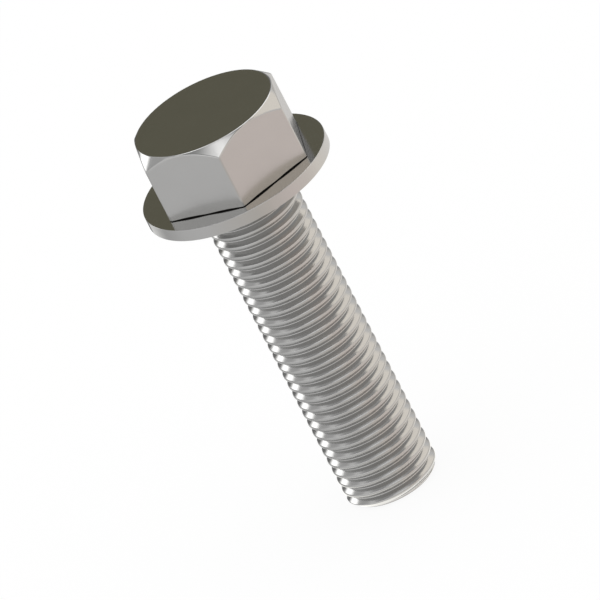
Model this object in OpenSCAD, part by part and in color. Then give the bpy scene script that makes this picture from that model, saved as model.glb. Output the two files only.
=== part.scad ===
// Hexagon flange bolt with a fully threaded shank, cold formed from one length of steel wire.
// It stands on its flat end. Z is the bolt's axis, and the flat end lies at Z = 0.

/* [Hexagon] */
// Width across the flats
across_flats = 15; // [13:0.5:16]
// Height of the hexagon above the flange
hexagon_height = 7.2; // [5:0.1:12]
// Gap on top between a flat and the circle that the chamfer leaves
chamfer_gap = 0.1; // [0.05:0.025:0.5]
// Angle between the chamfer and the flat top
chamfer_angle = 45; // [20:1:50]

/* [Flange] */
// Diameter of the flange
flange_diameter = 19.8; // [19.2:0.1:24]
// Thickness of the flange
flange_thickness = 1.3; // [0.8:0.05:3]
// Radius of the rim's two edges
rim_edge = 0.06; // [0.04:0.01:0.3]

/* [Shank] */
// Length from the bearing face under the flange to the flat end
shank_length = 36.6; // [15:0.1:60]
// Radius of the hollow corner between the shank and the bearing face
neck_fillet = 0.4; // [0.2:0.05:0.6]
// Width of the chamfer on the flat end, measured along the radius and along the axis
end_chamfer = 0.75; // [0.4:0.05:1.5]

/* [Thread] */
// Diameter over the thread's crests
thread_diameter = 9.92; // [8:0.02:11]
// Pitch of the right-hand thread
thread_pitch = 1.16; // [0.9:0.01:1.5]
// Angle between each flank of the groove and a plane across the axis
flank_angle = 38; // [30:1:45]
// Distance from the bearing face to the end of the groove
thread_runout = 1.1; // [0.9:0.1:10]
// Angle about the axis at which the groove crosses the flat end
thread_start = 222; // [0:1:359]

/* [Hidden] */
corner_radius = across_flats / sqrt(3);
top_radius = across_flats / 2 - chamfer_gap;
thread_radius = thread_diameter / 2;
crest_width = thread_pitch * 0.2;
root_width = thread_pitch * 0.09;
groove_depth = (thread_pitch - crest_width - root_width) / 2 / tan(flank_angle);
groove_overshoot = 0.07;
groove_steps = 24;
$fn = 96;

module hexagon() {
  // The hexagon starts inside the flange, so that the two are one solid
  depth = hexagon_height + flange_thickness / 2;
  translate([0, 0, shank_length + flange_thickness / 2])
    intersection() {
      cylinder(r = corner_radius, h = depth, $fn = 6);
      cylinder(r1 = top_radius + depth / tan(chamfer_angle), r2 = top_radius, h = depth);
    }
}

module flange() {
  rim_radius = flange_diameter / 2;
  translate([0, 0, shank_length])
    rotate_extrude() {
      square([rim_radius - rim_edge, flange_thickness]);
      translate([0, rim_edge])
        square([rim_radius, flange_thickness - 2 * rim_edge]);
      for (z = [rim_edge, flange_thickness - rim_edge])
        translate([rim_radius - rim_edge, z])
          circle(r = rim_edge);
    }
}

module shank_blank() {
  rotate_extrude() {
    polygon([
      [0, 0],
      [thread_radius - end_chamfer, 0],
      [thread_radius, end_chamfer],
      [thread_radius, shank_length + flange_thickness / 2],
      [0, shank_length + flange_thickness / 2]
    ]);
    translate([thread_radius, shank_length - neck_fillet])
      difference() {
        square(neck_fillet);
        translate([neck_fillet, 0])
          circle(r = neck_fillet);
      }
  }
}

// The groove between the crests: a four-sided section swept up a helix. It starts a turn below
// the flat end, and over its last half turn it climbs out of the shank.
module thread_groove() {
  root_radius = thread_radius - groove_depth;
  mouth_radius = thread_radius + groove_overshoot;
  root_half = root_width / 2;
  mouth_half = root_half + (groove_depth + groove_overshoot) * tan(flank_angle);
  section = [
    [root_radius, -root_half],
    [root_radius, root_half],
    [mouth_radius, mouth_half],
    [mouth_radius, -mouth_half]
  ];
  first_step = -groove_steps;
  last_step = floor((shank_length - thread_runout) / thread_pitch * groove_steps);
  climb_steps = groove_steps / 2;
  rings = last_step - first_step;
  points = [
    for (step = [first_step:last_step], corner = section)
      let (
        angle = thread_start + step * 360 / groove_steps,
        climbed = max(0, step - last_step + climb_steps) / climb_steps,
        radius = corner[0] + climbed * (groove_depth + groove_overshoot)
      )
      [radius * cos(angle), radius * sin(angle), corner[1] + step * thread_pitch / groove_steps]
  ];
  walls = [
    for (ring = [0:rings - 1], side = [0:3])
      let (
        a = 4 * ring + side,
        b = 4 * ring + (side + 1) % 4
      )
      each [[a + 4, b + 4, b], [a + 4, b, a]]
  ];
  ends = [[0, 1, 2, 3], [for (corner = [3:-1:0]) 4 * rings + corner]];
  polyhedron(points = points, faces = concat(walls, ends), convexity = 10);
}

module threaded_shank() {
  difference() {
    shank_blank();
    thread_groove();
  }
}

module flange_bolt() {
  color([0.66, 0.65, 0.62]) {
    hexagon();
    flange();
    threaded_shank();
  }
}

flange_bolt();
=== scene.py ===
# %% [markdown]
# This bolt is one piece of steel: a hexagon and a flat flange are forged on one end of a length of
# wire, and the thread is rolled into the rest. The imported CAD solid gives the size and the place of
# everything. Its thread is faceted, so a finely modelled bolt stands in for it here, in one mesh.

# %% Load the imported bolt
import math

import bpy
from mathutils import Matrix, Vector


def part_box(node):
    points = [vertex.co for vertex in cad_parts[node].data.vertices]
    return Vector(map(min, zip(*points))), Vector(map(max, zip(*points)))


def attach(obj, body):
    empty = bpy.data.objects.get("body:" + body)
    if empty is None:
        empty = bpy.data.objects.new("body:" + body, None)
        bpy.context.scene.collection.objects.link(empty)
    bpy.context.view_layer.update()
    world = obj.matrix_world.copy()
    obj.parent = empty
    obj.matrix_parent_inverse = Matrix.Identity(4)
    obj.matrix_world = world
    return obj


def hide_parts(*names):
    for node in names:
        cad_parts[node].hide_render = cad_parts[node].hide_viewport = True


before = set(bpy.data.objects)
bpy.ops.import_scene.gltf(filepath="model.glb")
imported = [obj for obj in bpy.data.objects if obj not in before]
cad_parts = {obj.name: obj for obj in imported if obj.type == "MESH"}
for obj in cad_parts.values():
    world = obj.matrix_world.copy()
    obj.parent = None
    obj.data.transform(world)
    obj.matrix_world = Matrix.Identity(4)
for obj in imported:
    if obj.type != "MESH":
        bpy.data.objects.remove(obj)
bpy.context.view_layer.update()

low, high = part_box("flange_bolt")
print("the packed bolt reaches from", [round(x * 1000, 2) for x in low],
      "to", [round(x * 1000, 2) for x in high], "mm")

# %% [markdown]
# The sizes are the bolt's own, in millimetres, as they would stand on its drawing. Several of
# Blender's tools join or snap points that lie closer than a tenth of a millimetre, which is coarse
# for a thread, so the bolt is modelled with one unit to a millimetre and brought down to metres
# when it is finished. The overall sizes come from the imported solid. The thread has 120 columns to a
# turn, and the cones have twice as many, so that their facets don't show.

# %% Sizes of the bolt
MM = 0.001
BOLT_HEIGHT = (high.z - low.z) / MM
FLANGE_RADIUS = (high.x - low.x) / MM / 2
ACROSS_FLATS = 15.0
HEXAGON_HEIGHT = 7.2
CHAMFER_GAP = 0.1
CHAMFER_ANGLE = math.radians(45)
FLANGE_THICKNESS = 1.3
RIM_EDGE = 0.06
NECK_FILLET = 0.4
END_CHAMFER = 0.75
CREST_RADIUS = 4.96
PITCH = 1.16
RUNOUT = 1.1
THREAD_START = math.radians(222)
FLANK_ANGLE = math.radians(38)
GROOVE_DEPTH = 0.527
CREST_FLAT = 0.035
CREST_ARC = 0.2
ROOT_ARC = 0.1

BEARING_Z = BOLT_HEIGHT - HEXAGON_HEIGHT - FLANGE_THICKNESS
FLANGE_TOP_Z = BEARING_Z + FLANGE_THICKNESS
COLUMNS = 120
CLOSE = 0.001
print("the shank is", round(BEARING_Z, 2), "mm long")

# %% [markdown]
# The camera comes first. The photograph's edges run parallel from head to end, so it is an
# orthographic view: it looks down at 24 degrees, and the picture is turned by 27 degrees. The
# frame's width follows from the bolt's real size, and the middle of the frame lies 22.8 mm below
# the head's top.

# %% Camera
CAMERA_AZIMUTH = math.radians(34.26)
CAMERA_ELEVATION = math.radians(24.3)
CAMERA_ROLL = math.radians(27.41)
CAMERA_DISTANCE = 0.5
FRAME_WIDTH = 0.05933
AIM_BELOW_TOP = 22.84 * MM

RIGHT = Vector((math.cos(CAMERA_AZIMUTH), math.sin(CAMERA_AZIMUTH), 0))
AWAY = Vector((-math.sin(CAMERA_AZIMUTH), math.cos(CAMERA_AZIMUTH), 0))


def toward(azimuth, elevation):
    """The direction at an azimuth and an elevation, in degrees. Azimuth 0 is away from the camera."""
    turn, lift = math.radians(azimuth), math.radians(elevation)
    level = AWAY * math.cos(turn) + RIGHT * math.sin(turn)
    return level * math.cos(lift) + Vector((0, 0, math.sin(lift)))


aim = Vector((0, 0, BOLT_HEIGHT * MM - AIM_BELOW_TOP))
back = -toward(0, -math.degrees(CAMERA_ELEVATION))
bpy.ops.object.select_all(action="DESELECT")
bpy.ops.object.camera_add(location=aim + back * CAMERA_DISTANCE)
camera = bpy.context.object
camera.name = "camera"
camera.rotation_mode = "QUATERNION"
camera.rotation_quaternion = (-back).to_track_quat("-Z", "Y")
camera.data.type = "ORTHO"
camera.data.ortho_scale = FRAME_WIDTH
camera.data.clip_start, camera.data.clip_end = 0.01, 10
bpy.context.scene.camera = camera
bpy.ops.object.select_all(action="DESELECT")
camera.select_set(True)
camera.rotation_mode = "XYZ"
camera.rotation_euler.rotate_axis("Z", -CAMERA_ROLL)
print("the camera stands at", [round(x, 3) for x in camera.location])

# %% [markdown]
# Each step below works on what is selected and active. A few small helpers start from a clean
# selection, pick edges or faces by their place, and add a modifier and apply it.


# %% Helpers
def begin():
    """Deselects everything, because an operator acts on all that is selected."""
    if bpy.context.object and bpy.context.object.mode != "OBJECT":
        bpy.ops.object.mode_set(mode="OBJECT")
    bpy.ops.object.select_all(action="DESELECT")


def work_on(piece):
    """Makes one object the only one selected, and the active one."""
    begin()
    piece.select_set(True)
    bpy.context.view_layer.objects.active = piece


def pick(piece, kind, test):
    """Selects the vertices, edges or polygons that pass a test, and stays in edit mode."""
    work_on(piece)
    bpy.ops.object.mode_set(mode="EDIT")
    bpy.ops.mesh.select_mode(type={"vertices": "VERT", "edges": "EDGE", "polygons": "FACE"}[kind])
    bpy.ops.mesh.select_all(action="DESELECT")
    bpy.ops.object.mode_set(mode="OBJECT")
    for item in getattr(piece.data, kind):
        item.select = test(item)
    bpy.ops.object.mode_set(mode="EDIT")


def upright(piece, edge):
    """Says whether an edge stands upright."""
    one, other = (piece.data.vertices[index].co for index in edge.vertices)
    return abs((one - other).normalized().z) > 0.99


def all_above(piece, edge, height):
    """Says whether both ends of an edge lie above a height."""
    return all(piece.data.vertices[index].co.z > height for index in edge.vertices)


def finish_with(piece, kind, **settings):
    """Adds a modifier with these settings and applies it."""
    work_on(piece)
    modifier = piece.modifiers.new(kind.lower(), kind)
    for name, value in settings.items():
        setattr(modifier, name, value)
    bpy.ops.object.modifier_apply(modifier=modifier.name)


def combine(piece, other, operation):
    """Joins or cuts one closed shape with another, which is then removed."""
    finish_with(piece, "BOOLEAN", operation=operation, solver="MANIFOLD", object=other)
    bpy.data.objects.remove(other)


def report(piece, words):
    """Prints how many triangles a piece has."""
    triangles = sum(len(face.vertices) - 2 for face in piece.data.polygons)
    print(words, triangles, "triangles")


# %% [markdown]
# A rolled thread is one V-shaped groove that runs round the shank as a helix. Its straight flanks
# stand at 76 degrees to each other, its root is a small arc, and the crests between its turns are
# rounder. A plane's edge is cut into as many points as this section needs, and the points take
# their places on it. The section covers exactly one pitch, so the Screw modifier stacks its turns
# without a gap, and the doubled points between the turns are merged.


# %% Section of the thread
ROOT_STEPS = 3
CREST_STEPS = 5


def thread_section():
    """Points (height, radius) over one pitch, centred on the groove."""
    lean = math.pi / 2 - FLANK_ANGLE
    fall = 1 - math.cos(lean)
    flank_depth = GROOVE_DEPTH - (CREST_ARC + ROOT_ARC) * fall
    root_flat = (PITCH / 2 - CREST_FLAT / 2 - flank_depth * math.tan(FLANK_ANGLE)
                 - (CREST_ARC + ROOT_ARC) * math.sin(lean))
    points = [(0, CREST_RADIUS - GROOVE_DEPTH)]
    for step in range(ROOT_STEPS + 1):
        angle = lean * step / ROOT_STEPS
        points.append((root_flat + ROOT_ARC * math.sin(angle),
                       CREST_RADIUS - GROOVE_DEPTH + ROOT_ARC * (1 - math.cos(angle))))
    for step in range(CREST_STEPS + 1):
        angle = lean * (1 - step / CREST_STEPS)
        points.append((PITCH / 2 - CREST_FLAT / 2 - CREST_ARC * math.sin(angle),
                       CREST_RADIUS - CREST_ARC * (1 - math.cos(angle))))
    points.append((PITCH / 2, CREST_RADIUS))
    return [(-z, r) for z, r in reversed(points[1:])] + points


section = thread_section()
print("the section has", len(section), "points and is", round(GROOVE_DEPTH, 3), "mm deep")

# %% Sweep the section up the helix
TURNS_BELOW = 2
turns = math.ceil(BEARING_Z / PITCH) + 2 * TURNS_BELOW

begin()
bpy.ops.mesh.primitive_plane_add(size=PITCH)
bolt = bpy.context.object
bolt.name = "flange_bolt_finished"
pick(bolt, "vertices", lambda vertex: vertex.co.x > 0)
bpy.ops.mesh.delete(type="VERT")
bpy.ops.mesh.select_all(action="SELECT")
bpy.ops.mesh.subdivide(number_cuts=len(section) - 2)
bpy.ops.object.mode_set(mode="OBJECT")
for vertex, (z, radius) in zip(sorted(bolt.data.vertices, key=lambda v: v.co.y), section):
    vertex.co = (radius * math.cos(THREAD_START), radius * math.sin(THREAD_START),
                 z - TURNS_BELOW * PITCH)
finish_with(bolt, "SCREW", axis="Z", angle=math.tau, screw_offset=PITCH, iterations=turns,
            steps=COLUMNS, render_steps=COLUMNS)
bpy.ops.object.mode_set(mode="EDIT")
bpy.ops.mesh.select_all(action="SELECT")
bpy.ops.mesh.remove_doubles(threshold=PITCH / 1000)
bpy.ops.object.mode_set(mode="OBJECT")
report(bolt, f"{turns} turns of thread:")

# %% [markdown]
# Under the head the rolling dies let go of the wire, and the groove runs out over half a turn. Each
# point knows its turn of the helix, so the groove is made shallower from there on.

# %% Run the groove out under the flange
RUNOUT_TURNS = 0.5
groove_end = (BEARING_Z - RUNOUT) / PITCH
for vertex in bolt.data.vertices:
    x, y, z = vertex.co
    radius = math.hypot(x, y)
    share = (math.atan2(y, x) - THREAD_START) / math.tau
    groove = round(z / PITCH - share) + share
    kept = min(1, max(0, (groove_end - groove) / RUNOUT_TURNS))
    wanted = CREST_RADIUS - (CREST_RADIUS - radius) * kept
    vertex.co = (x * wanted / radius, y * wanted / radius, z)
print("the groove ends", RUNOUT, "mm below the flange")

# %% [markdown]
# The swept thread is longer than the shank at both ends. Two bisects with a filled cut trim it to
# flat ends, and a cone then cuts the 45 degree chamfer that leads the bolt into its nut.


# %% Trim the ends and cut the chamfer
def trim(piece, height, above):
    """Cuts a piece at a height and closes the cut, dropping what is above or below it."""
    work_on(piece)
    bpy.ops.object.mode_set(mode="EDIT")
    bpy.ops.mesh.select_all(action="SELECT")
    bpy.ops.mesh.bisect(plane_co=(0, 0, height), plane_no=(0, 0, 1), threshold=CLOSE / 1000,
                        use_fill=True, clear_outer=above, clear_inner=not above)
    bpy.ops.object.mode_set(mode="OBJECT")


NECK_Z = BEARING_Z - NECK_FILLET
trim(bolt, 0, above=False)
trim(bolt, NECK_Z, above=True)
begin()
END_RADIUS = CREST_RADIUS - END_CHAMFER
bpy.ops.mesh.primitive_cone_add(vertices=2 * COLUMNS, radius1=END_RADIUS,
                                radius2=END_RADIUS + BOLT_HEIGHT, depth=BOLT_HEIGHT,
                                location=(0, 0, BOLT_HEIGHT / 2))
combine(bolt, bpy.context.object, "INTERSECT")
report(bolt, "the trimmed thread has")

# %% [markdown]
# The neck, the bearing face and the flange grow out of the thread's top, as they do from the wire
# when it is upset. The closing face there is selected, and each extrude takes it to the next height
# and each resize to the next radius: round the hollow fillet, out along the bearing face, and over
# the rim's two rounded edges.


# %% Grow the flange from the neck
FILLET_STEPS = 8
RIM_STEPS = 5


def profile_of_flange():
    """Points (radius, height) from the neck to the flange's top."""
    points = []
    for step in range(1, FILLET_STEPS + 1):
        angle = math.radians(90) * step / FILLET_STEPS
        points.append((CREST_RADIUS + NECK_FILLET * (1 - math.cos(angle)),
                       NECK_Z + NECK_FILLET * math.sin(angle)))
    for centre_z, start in ((BEARING_Z + RIM_EDGE, -90), (FLANGE_TOP_Z - RIM_EDGE, 0)):
        for step in range(RIM_STEPS + 1):
            angle = math.radians(start + 90 * step / RIM_STEPS)
            points.append((FLANGE_RADIUS - RIM_EDGE * (1 - math.cos(angle)),
                           centre_z + RIM_EDGE * math.sin(angle)))
    return points


pick(bolt, "polygons", lambda face: face.normal.z > 0.99 and face.center.z > NECK_Z - CLOSE)
radius, z = CREST_RADIUS, NECK_Z
for next_radius, next_z in profile_of_flange():
    bpy.ops.mesh.extrude_region_move(TRANSFORM_OT_translate={"value": (0, 0, next_z - z)})
    scale = next_radius / radius
    bpy.ops.transform.resize(value=(scale, scale, 1), center_override=(0, 0, next_z))
    radius, z = next_radius, next_z
bpy.ops.object.mode_set(mode="OBJECT")
report(bolt, "with its flange the bolt has")

# %% [markdown]
# The hexagon is a six-sided prism. Its top is turned to a 45 degree cone, which leaves a round flat
# on top and a curved edge on each side. Where the prism and the cone are cut with each other, those
# curves come out true. The cone is turned by less than a degree, so that none of its facets' edges
# meets a corner of the prism. No edge of a forged head is sharp: the upright corners are broken
# most, and the curved edges less, so each edge is given its own weight for one bevel. The prism
# starts inside the flange, so that the two can be joined.

# %% Hexagon
HEXAGON_DEPTH = HEXAGON_HEIGHT + FLANGE_THICKNESS / 2
CORNER_RADIUS = ACROSS_FLATS / math.sqrt(3)
TOP_RADIUS = ACROSS_FLATS / 2 - CHAMFER_GAP
CORNER_BREAK = 0.16
ARC_BREAK = 0.14
TOP_BREAK = 0.09
CONE_TURN = math.radians(0.75)
CONE_REACH = HEXAGON_DEPTH / math.tan(CHAMFER_ANGLE)
FLAT_DIRECTIONS = [(math.cos(math.radians(turn)), math.sin(math.radians(turn)))
                   for turn in (30, 90, 150)]


def on_flats(piece, edge):
    """Says whether both ends of an edge lie on the prism's sides."""
    ends = [piece.data.vertices[index].co for index in edge.vertices]
    reach = [max(abs(end.x * x + end.y * y) for x, y in FLAT_DIRECTIONS) for end in ends]
    return all(abs(size - ACROSS_FLATS / 2) < CLOSE for size in reach)


middle = BOLT_HEIGHT - HEXAGON_DEPTH / 2
begin()
bpy.ops.mesh.primitive_cylinder_add(vertices=6, radius=CORNER_RADIUS, depth=HEXAGON_DEPTH,
                                    location=(0, 0, middle), rotation=(0, 0, math.radians(30)))
hexagon = bpy.context.object
bpy.ops.object.transform_apply()

begin()
bpy.ops.mesh.primitive_cone_add(vertices=2 * COLUMNS, radius1=TOP_RADIUS + CONE_REACH,
                                radius2=TOP_RADIUS, depth=HEXAGON_DEPTH, location=(0, 0, middle),
                                rotation=(0, 0, CONE_TURN))
turned_top = bpy.context.object
bpy.ops.object.transform_apply()
pick(turned_top, "edges", lambda edge: all_above(turned_top, edge, BOLT_HEIGHT - CLOSE))
bpy.ops.mesh.bevel(offset=TOP_BREAK, segments=4, profile=0.5)
bpy.ops.object.mode_set(mode="OBJECT")
combine(hexagon, turned_top, "INTERSECT")
work_on(hexagon)
bpy.ops.object.mode_set(mode="EDIT")
bpy.ops.mesh.select_all(action="SELECT")
bpy.ops.mesh.dissolve_limited(angle_limit=math.radians(0.4))
bpy.ops.object.mode_set(mode="OBJECT")

weights = hexagon.data.attributes.new("bevel_weight_edge", "FLOAT", "EDGE")
for edge, weight in zip(hexagon.data.edges, weights.data):
    if upright(hexagon, edge):
        weight.value = 1
    elif all_above(hexagon, edge, middle) and on_flats(hexagon, edge):
        depth = BOLT_HEIGHT - hexagon.data.vertices[edge.vertices[0]].co.z
        weight.value = min(ARC_BREAK, depth / 2) / CORNER_BREAK
print(sum(weight.value > 0 for weight in weights.data), "edges of the hexagon are broken")
finish_with(hexagon, "BEVEL", width=CORNER_BREAK, segments=3, limit_method="WEIGHT",
            use_clamp_overlap=False)
report(hexagon, "the hexagon has")

# %% [markdown]
# The hexagon and the flange become one skin. Where three cuts meet, they can leave an edge shorter
# than a thousandth of a millimetre, which nobody would see but which spoils the file for making, so
# such edges are dissolved.

# %% Join the hexagon to the bolt
SHORTEST_EDGE = 0.0005

combine(bolt, hexagon, "UNION")
work_on(bolt)
bpy.ops.object.mode_set(mode="EDIT")
bpy.ops.mesh.select_all(action="SELECT")
bpy.ops.mesh.dissolve_degenerate(threshold=SHORTEST_EDGE)
bpy.ops.object.mode_set(mode="OBJECT")
report(bolt, "the whole bolt has")

# %% [markdown]
# A broken edge should only shade its own narrow strip. The weighted normals let the large faces
# decide at the vertices that they share with the small ones. They compare areas, so they come before
# the bolt is brought down to metres, where every area is tiny.

# %% Smooth the bolt and bring it down to metres
work_on(bolt)
bpy.ops.object.shade_smooth_by_angle(angle=math.radians(30))
finish_with(bolt, "WEIGHTED_NORMAL", keep_sharp=True, weight=50, thresh=0.001)
work_on(bolt)
bpy.ops.transform.resize(value=(MM, MM, MM), center_override=(0, 0, 0))
bpy.ops.object.transform_apply()
print("the bolt now spans", [round(x / MM, 2) for x in bolt.dimensions], "mm")

# %% [markdown]
# The steel is bare and bright, with a fine skin that the dies leave on it. A plain metal colour would
# show the studio like chrome, so some small effects break it up. They are made from noise and from
# simple measures of the place, with a few helpers for the nodes that all of them need. Everything is
# measured in the bolt's own coordinates, so nothing slides on it. A place counts as on a face while
# it lies within a skin of 0.03 mm.


# %% Helpers for materials
def add(tree, kind, **settings):
    """Adds a shader node and sets its options."""
    node = tree.nodes.new("ShaderNode" + kind)
    for name, value in settings.items():
        setattr(node, name, value)
    return node


def join(tree, source, target):
    """Draws a link from one socket to another."""
    tree.links.new(source, target)


def feed(tree, values, slots):
    """Gives each slot its value, which is a plain number or another node's socket."""
    for value, slot in zip(values, slots):
        if isinstance(value, bpy.types.NodeSocket):
            join(tree, value, slot)
        else:
            slot.default_value = value


def work_out(tree, operation, *values, clamp=False):
    """Adds a Math node, feeds it the values and gives its result."""
    node = add(tree, "Math", operation=operation, use_clamp=clamp)
    feed(tree, values, node.inputs)
    return node.outputs[0]


def between(tree, value, start, end):
    """How far a value has come from start to end, held between 0 and 1."""
    node = add(tree, "MapRange")
    feed(tree, (value, start, end), node.inputs)
    return node.outputs["Result"]


def lines(tree, place, scale, stretch):
    """A noise that is drawn out into lines by scaling the place it reads."""
    drawn = add(tree, "Mapping")
    drawn.inputs["Scale"].default_value = stretch
    join(tree, place, drawn.inputs["Vector"])
    noise = add(tree, "TexNoise")
    noise.inputs["Scale"].default_value = scale
    noise.inputs["Detail"].default_value = 4
    join(tree, drawn.outputs[0], noise.inputs["Vector"])
    return noise.outputs["Fac"]


# %% Steel, and where a place lies on the bolt
SKIN = 0.03

steel = bpy.data.materials.new("bright_steel")
steel.use_nodes = True
tree = steel.node_tree
shader = tree.nodes["Principled BSDF"]
shader.inputs["Metallic"].default_value = 1

where = add(tree, "TexCoord")
in_mm = add(tree, "Mapping")
in_mm.inputs["Scale"].default_value = (1 / MM, 1 / MM, 1 / MM)
join(tree, where.outputs["Object"], in_mm.inputs["Vector"])
place = in_mm.outputs[0]
axes = add(tree, "SeparateXYZ")
join(tree, place, axes.inputs[0])
x, y, z = axes.outputs


def hexagon_distance():
    """How far a place lies outside the hexagon, measured square to its nearest flat."""
    widest = None
    for direction in FLAT_DIRECTIONS:
        across = add(tree, "VectorMath", operation="DOT_PRODUCT")
        across.inputs[1].default_value = (*direction, 0)
        join(tree, place, across.inputs[0])
        size = work_out(tree, "ABSOLUTE", across.outputs["Value"])
        widest = size if widest is None else work_out(tree, "MAXIMUM", widest, size)
    return work_out(tree, "SUBTRACT", widest, ACROSS_FLATS / 2)


outside = hexagon_distance()
above = work_out(tree, "SUBTRACT", z, FLANGE_TOP_Z)
on_head = between(tree, z, BEARING_Z - NECK_FILLET, BEARING_Z)
on_shank = work_out(tree, "SUBTRACT", 1, on_head)
in_flat = between(tree, work_out(tree, "ABSOLUTE", outside), 2 * SKIN, SKIN)
on_flat = work_out(tree, "MULTIPLY", between(tree, above, 0, SKIN / 3), in_flat)
print("the flats are measured from", len(FLAT_DIRECTIONS), "directions")

# %% [markdown]
# At the foot of the hexagon, in the inside corner where it meets the flange, shade is painted into
# the steel's colour as a dark line. It is a fine line, a sixth of a millimetre high, and the
# photograph shows it taller between each corner and the middle of the flat than at either. Modelling
# it would add an edge finer than the broken ones, so a ramp over the angle from the nearest corner
# sets its height, and the painted shade is mixed in below that.

# %% Painted shade at the foot of the hexagon
# The height, reach and softness of the painted shade in the corner at the hexagon's foot.
FOOT_SHADE_HEIGHT = 0.16
FOOT_SHADE_REACH = 0.05
FOOT_SHADE_SOFTNESS = 0.03
FOOT_SHADE_LEVELS = ((0.0, 0.62), (0.42, 1.0), (0.6, 1.0), (1.0, 0.72))
HALF_SIDE = math.radians(30)


def fill_ramp(ramp, levels):
    """Gives a colour ramp its stops, as pairs of a place from 0 to 1 and a colour."""
    stops = ramp.color_ramp.elements
    for position, colour in levels:
        stop = stops[0] if position == 0 else stops[-1] if position == 1 else stops.new(position)
        stop.color = (*colour, 1)


turned = work_out(tree, "ADD", work_out(tree, "ARCTAN2", y, x), math.tau)
from_corner = work_out(tree, "DIVIDE", work_out(tree, "PINGPONG", turned, HALF_SIDE), HALF_SIDE)
foot_shade_shape = add(tree, "ValToRGB")
foot_shade_shape.color_ramp.interpolation = "EASE"
fill_ramp(foot_shade_shape, [(position, (level, level, level)) for position, level in FOOT_SHADE_LEVELS])
join(tree, from_corner, foot_shade_shape.inputs["Fac"])
foot_shade_top = work_out(tree, "MULTIPLY", foot_shade_shape.outputs["Color"], FOOT_SHADE_HEIGHT)
below_top = work_out(tree, "DIVIDE", work_out(tree, "SUBTRACT", foot_shade_top, above),
                     FOOT_SHADE_SOFTNESS, clamp=True)
near_flat = between(tree, outside, FOOT_SHADE_REACH, FOOT_SHADE_REACH / 2)
not_under = between(tree, above, -SKIN, -SKIN / 3)
painted_foot_shade = work_out(tree, "MULTIPLY", work_out(tree, "MULTIPLY", below_top, near_flat), not_under)
print("the crease is up to", FOOT_SHADE_HEIGHT, "mm high")

# %% [markdown]
# Faint lines follow the way the metal was worked: along the axis on the head, and round the axis on
# the rolled shank. They are noise that is drawn out one way. Broad soft clouds vary the tone by a few
# hundredths, as the skin of bare steel does.

# %% Worked lines and clouds
DRAWN_STRETCH = (1, 1, 0.06)
ROLLED_STRETCH = (0.12, 0.12, 2)
LINE_SCALE = 3
CLOUD_SCALE = 0.35
STEEL_COLOUR = (0.42, 0.418, 0.412, 1)
# The dark colour of the painted shade at the hexagon's foot.
PAINTED_SHADE_COLOUR = (0.012, 0.011, 0.01, 1)
TONE_CHANGE = 0.06

drawn_lines = lines(tree, place, LINE_SCALE, DRAWN_STRETCH)
rolled_lines = lines(tree, place, LINE_SCALE, ROLLED_STRETCH)
worked = add(tree, "Mix")
join(tree, on_head, worked.inputs["Factor"])
join(tree, rolled_lines, worked.inputs["A"])
join(tree, drawn_lines, worked.inputs["B"])
texture = worked.outputs["Result"]
clouds = lines(tree, place, CLOUD_SCALE, (1, 1, 1))

tone = add(tree, "MixRGB", blend_type="MULTIPLY")
tone.inputs["Fac"].default_value = 1
tone.inputs["Color1"].default_value = STEEL_COLOUR
shade = work_out(tree, "MULTIPLY_ADD", clouds, TONE_CHANGE, 1 - TONE_CHANGE / 2)
join(tree, shade, tone.inputs["Color2"])
# Below the ramp's height the steel's colour is mixed with the painted shade at the hexagon's foot.
colour = add(tree, "MixRGB")
join(tree, painted_foot_shade, colour.inputs["Fac"])
join(tree, tone.outputs["Color"], colour.inputs["Color1"])
colour.inputs["Color2"].default_value = PAINTED_SHADE_COLOUR
join(tree, colour.outputs["Color"], shader.inputs["Base Color"])
print("the steel's tone varies by", round(TONE_CHANGE * 50), "percent each way")

# %% [markdown]
# How sharply steel mirrors tells most about it. The pressed faces are the brightest, the shank is a
# little duller, and the flats, which slid along the die, are dullest. The worked lines and the
# painted shade at the hexagon's foot add to that. Through a bump of four thousandths of a millimetre
# the lines also lean the surface a little, most on the shank.

# %% Roughness and bump
FLAT_ROUGHNESS = 0.21
FACE_ROUGHNESS = 0.1
SHANK_ROUGHNESS = 0.14
LINE_DEPTH = 0.004 * MM

dullness = work_out(tree, "MULTIPLY_ADD", on_flat, FLAT_ROUGHNESS - FACE_ROUGHNESS, FACE_ROUGHNESS)
dullness = work_out(tree, "MULTIPLY_ADD", on_shank, SHANK_ROUGHNESS - FACE_ROUGHNESS, dullness)
dullness = work_out(tree, "MULTIPLY_ADD", texture, 0.05, dullness)
# Where the shade is painted at the hexagon's foot, the steel is also made rougher.
dullness = work_out(tree, "MULTIPLY_ADD", painted_foot_shade, 0.5, dullness)
join(tree, dullness, shader.inputs["Roughness"])

bump = add(tree, "Bump")
bump.inputs["Strength"].default_value = 1
bump.inputs["Distance"].default_value = LINE_DEPTH
depth = work_out(tree, "MULTIPLY_ADD", on_shank, 0.75, 0.25)
join(tree, work_out(tree, "MULTIPLY", texture, depth), bump.inputs["Height"])
join(tree, bump.outputs["Normal"], shader.inputs["Normal"])

bolt.data.materials.clear()
bolt.data.materials.append(steel)
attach(bolt, "root")
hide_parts("flange_bolt")
print("the steel's material has", len(tree.nodes), "nodes")

# %% [markdown]
# The floor is plain white paper. To the camera it is nearly all glow, with a share of real paper, so
# that the bolt keeps its soft shadow. Steel has little colour of its own and shows what it mirrors,
# so the mirrored floor glows as well.


# %% Floor
FLOOR_WIDTH = 12
PAPER = (1, 1, 1, 1)
GLOW_SHARE = 0.88


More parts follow.
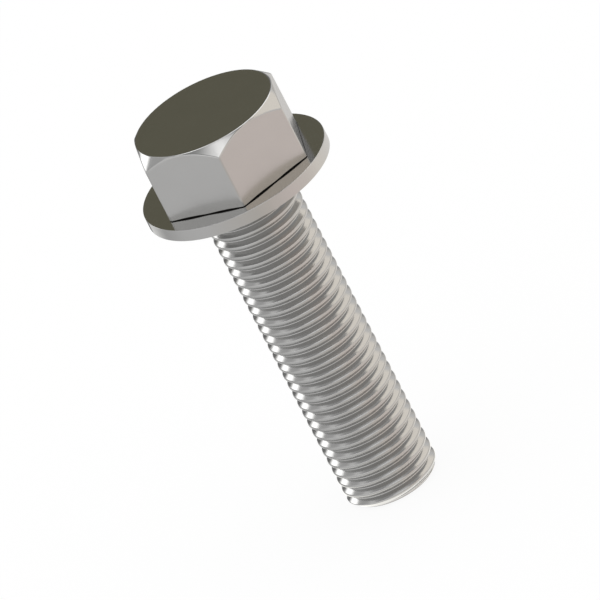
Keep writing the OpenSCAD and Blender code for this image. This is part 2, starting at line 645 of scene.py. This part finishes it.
def floor_material():
    """White paper that the camera and the steel see as a white glow."""
    material = bpy.data.materials.new("floor_paper")
    material.use_nodes = True
    tree = material.node_tree
    tree.nodes.clear()
    output = add(tree, "OutputMaterial")
    mix = add(tree, "MixShader")
    paper = add(tree, "BsdfDiffuse")
    paper.inputs["Color"].default_value = PAPER
    glow = add(tree, "Emission")
    glow.inputs["Strength"].default_value = 1
    path = add(tree, "LightPath")
    seen = work_out(tree, "MULTIPLY_ADD", path.outputs["Is Camera Ray"], GLOW_SHARE,
                    path.outputs["Is Glossy Ray"])
    share = work_out(tree, "ADD", seen, path.outputs["Is Transmission Ray"], clamp=True)
    join(tree, share, mix.inputs["Fac"])
    join(tree, paper.outputs[0], mix.inputs[1])
    join(tree, glow.outputs[0], mix.inputs[2])
    join(tree, mix.outputs[0], output.inputs["Surface"])
    return material


begin()
bpy.ops.mesh.primitive_plane_add(size=FLOOR_WIDTH)
floor = bpy.context.object
floor.name = "floor"
floor.data.materials.append(floor_material())
print("the floor is", round(floor.dimensions.x), "m wide")

# %% [markdown]
# Around the bolt stand the things that a studio has: a dark screen behind it, softboxes, grey walls
# and low screens. They show only in the steel, never to the camera, and they cast no light on the
# floor. Each is placed by the direction in which the bolt mirrors it, from the middle of the bolt,
# and by the angle that it fills. All of them fade out at their sides, so that effect is a node group.


# %% Helpers for the cards
MIDDLE = Vector((0, 0, BOLT_HEIGHT * MM / 2))
FAR = 1.2
NEAR = 0.35


def grey(level):
    """A grey of that level."""
    return (level, level, level)


def glowing(name, colour):
    """A material that only glows, in one colour."""
    material = bpy.data.materials.new(name)
    material.use_nodes = True
    shader = material.node_tree.nodes["Principled BSDF"]
    shader.inputs["Base Color"].default_value = (0, 0, 0, 1)
    shader.inputs["Specular IOR Level"].default_value = 0
    shader.inputs["Emission Color"].default_value = (*colour, 1)
    shader.inputs["Emission Strength"].default_value = 1
    return material


def soft_edge_group():
    """Makes the effect that fades a panel out toward its four sides."""
    group = bpy.data.node_groups.new("soft_edge", "ShaderNodeTree")
    for name in ("Across", "Upward"):
        group.interface.new_socket(name, in_out="INPUT", socket_type="NodeSocketFloat")
    group.interface.new_socket("Alpha", in_out="OUTPUT", socket_type="NodeSocketFloat")
    softness = group.nodes.new("NodeGroupInput").outputs
    result = group.nodes.new("NodeGroupOutput").inputs["Alpha"]
    where = add(group, "TexCoord")
    axes = add(group, "SeparateXYZ")
    join(group, where.outputs["Object"], axes.inputs[0])
    fades = []
    for name, axis in (("Across", axes.outputs["X"]), ("Upward", axes.outputs["Y"])):
        full_from = work_out(group, "MULTIPLY_ADD", softness[name], -0.5, 0.5)
        fades.append(between(group, work_out(group, "ABSOLUTE", axis), 0.5, full_from))
    join(group, work_out(group, "MULTIPLY", *fades), result)
    return group


soft_edge = soft_edge_group()


def soften(material, fade):
    """Fades a panel out toward its sides, over these shares of its half width and half height."""
    tree = material.node_tree
    effect = add(tree, "Group", node_tree=soft_edge)
    effect.inputs["Across"].default_value, effect.inputs["Upward"].default_value = fade
    join(tree, effect.outputs["Alpha"], tree.nodes["Principled BSDF"].inputs["Alpha"])


def only_in_steel(panel, name, material):
    """Keeps a panel out of every view but the mirrored one, and gives it its name and material."""
    panel.name = name
    panel.data.materials.append(material)
    for kind in ("camera", "diffuse", "transmission", "shadow"):
        setattr(panel, "visible_" + kind, False)


def card(name, azimuths, elevations, colour, distance=FAR, fade=(0.2, 0.2)):
    """A card that fills the directions between two azimuths and two elevations, in degrees."""
    azimuth, elevation = sum(azimuths) / 2, sum(elevations) / 2
    wide = (azimuths[1] - azimuths[0]) * math.cos(math.radians(elevation))
    tall = elevations[1] - elevations[0]
    way = toward(azimuth, elevation)
    begin()
    bpy.ops.mesh.primitive_plane_add(size=1, location=MIDDLE + way * distance)
    panel = bpy.context.object
    panel.scale = (2 * distance * math.tan(math.radians(wide / 2)),
                   2 * distance * math.tan(math.radians(tall / 2)), 1)
    panel.rotation_mode = "QUATERNION"
    panel.rotation_quaternion = way.to_track_quat("Z", "Y")
    material = glowing(name, colour)
    soften(material, fade)
    only_in_steel(panel, name, material)


# %% Cards round the bolt
card("dark_screen", (-32, 7), (7, 44), (0.19, 0.182, 0.132), distance=NEAR)
card("dark_screen_edge", (3, 25), (8, 38), grey(0.3), distance=0.4)
card("dark_screen_foot", (-8, 33), (-14, 11), grey(0.5), distance=0.7)
card("left_softbox", (-54, -30), (11, 30), grey(2.7), fade=(0.25, 0.35))
card("left_low_screen", (-64, -36), (-16, 11), grey(0.5), distance=1.0)
card("left_dark_screen", (-42, -6), (-18, 11), grey(0.22), distance=0.8)
card("left_wall", (-110, -56), (10, 60), grey(1), distance=1.4, fade=(0.3, 0.3))
card("left_wall_end", (-78, -40), (12, 48), grey(0.68), distance=1.3)
card("right_softbox", (12, 43), (32, 64), grey(2.6))
card("right_wall", (29, 112), (16, 72), (1.43, 1.35, 1.24), distance=1.4, fade=(0.3, 0.3))
card("right_low_screen", (24, 84), (-12, 18), (0.88, 0.85, 0.81), distance=1.0)
card("front_left_wall", (-158, -98), (16, 36), grey(1.45), distance=1.4)
card("front_right_wall", (106, 166), (16, 36), (1.6, 1.43, 1.25), distance=1.4)
card("front_low_screen", (92, 268), (-14, 13), grey(0.9), distance=1.0)
card("front_left_gap", (-158, -98), (36, 51), grey(0.1), distance=1.1)
card("front_right_gap", (103, 158), (36, 51), grey(0.1), distance=1.1)
card("front_softbox", (128, 232), (46, 71), grey(2.05), fade=(0.9, 0.5))
card("overhead", (90, 270), (70, 90), grey(0.85), distance=1.1, fade=(0.6, 0.6))
card("back_softbox", (-60, 60), (56, 80), grey(2.6))
print(soft_edge.users, "cards stand round the bolt")

# %% Ceiling
CEILING_WIDTH = 2.4
CEILING_Z = 1.3

begin()
bpy.ops.mesh.primitive_plane_add(size=1, location=(0, 0, CEILING_Z))
ceiling = bpy.context.object
ceiling.scale = (CEILING_WIDTH, CEILING_WIDTH, 1)
ceiling_material = glowing("ceiling", grey(0.52))
soften(ceiling_material, (0.2, 0.2))
only_in_steel(ceiling, "ceiling", ceiling_material)
print("the ceiling hangs", CEILING_Z, "m above the floor")

# %% [markdown]
# The floor round the bolt isn't evenly lit in the photograph: the steel mirrors it a little darker
# on the left and in front, brighter and warmer on the right, and dark in a narrow strip behind,
# where the dark screen stands. A disc just above the floor holds that, as a gradient round the
# bolt. A small bright disc under the bolt's end is what its chamfer mirrors. Both show only in the
# steel.

# %% Tones of the floor
TONES_RADIUS = 0.5
NEAR_RADIUS = 0.009
NEAR_SHIFT = 0.003
STEP_UP = 0.0001
NEAR_GLOW = (1.6, 1.58, 1.52)
FLOOR_TONES = (
    (-180, (0.88, 0.84, 0.79)),
    (-120, (0.9, 0.9, 0.9)),
    (-92, (0.87, 0.87, 0.87)),
    (-61, (0.66, 0.66, 0.66)),
    (-42, (0.93, 0.93, 0.92)),
    (-25, (0.93, 0.93, 0.92)),
    (-19, (0.06, 0.06, 0.06)),
    (7, (0.06, 0.06, 0.06)),
    (12, (0.8, 0.79, 0.77)),
    (19, (0.84, 0.82, 0.8)),
    (48, (1.16, 1.12, 1.07)),
    (80, (1.3, 1.23, 1.14)),
    (108, (1.16, 1.06, 0.99)),
    (130, (1.12, 1.0, 0.945)),
    (165, (0.94, 0.87, 0.81)),
    (180, (0.88, 0.84, 0.79)),
)


def tones_material():
    """A glow whose colour changes with the direction from the bolt."""
    material = glowing("floor_tones", (1, 1, 1))
    tree = material.node_tree
    where = add(tree, "TexCoord")
    turn = add(tree, "Mapping")
    turn.inputs["Rotation"].default_value[2] = -CAMERA_AZIMUTH
    join(tree, where.outputs["Object"], turn.inputs["Vector"])
    axes = add(tree, "SeparateXYZ")
    join(tree, turn.outputs[0], axes.inputs[0])
    azimuth = work_out(tree, "ARCTAN2", axes.outputs[0], axes.outputs[1])
    share = work_out(tree, "MULTIPLY_ADD", azimuth, 1 / math.tau, 0.5)
    ramp = add(tree, "ValToRGB")
    fill_ramp(ramp, [(degrees / 360 + 0.5, colour) for degrees, colour in FLOOR_TONES])
    join(tree, share, ramp.inputs["Fac"])
    join(tree, ramp.outputs["Color"], tree.nodes["Principled BSDF"].inputs["Emission Color"])
    return material


begin()
bpy.ops.mesh.primitive_circle_add(vertices=64, radius=TONES_RADIUS, fill_type="NGON",
                                  location=(0, 0, STEP_UP))
only_in_steel(bpy.context.object, "floor_tones", tones_material())
begin()
bpy.ops.mesh.primitive_circle_add(vertices=64, radius=NEAR_RADIUS, fill_type="NGON",
                                  location=AWAY * NEAR_SHIFT + Vector((0, 0, 2 * STEP_UP)))
only_in_steel(bpy.context.object, "near_floor", glowing("near_floor", NEAR_GLOW))
print("the floor's tones change at", len(FLOOR_TONES), "directions")

# %% [markdown]
# There are no lamps. An even white world lights the paper and fills the gaps between the cards, at
# the level at which a colour renders as it is written.

# %% World and view
world = bpy.data.worlds.new("studio")
bpy.context.scene.world = world
world.use_nodes = True
world.node_tree.nodes["Background"].inputs["Color"].default_value = (1, 1, 1, 1)
world.node_tree.nodes["Background"].inputs["Strength"].default_value = 1
bpy.context.scene.view_settings.view_transform = "Standard"
print("the view transform is", bpy.context.scene.view_settings.view_transform)
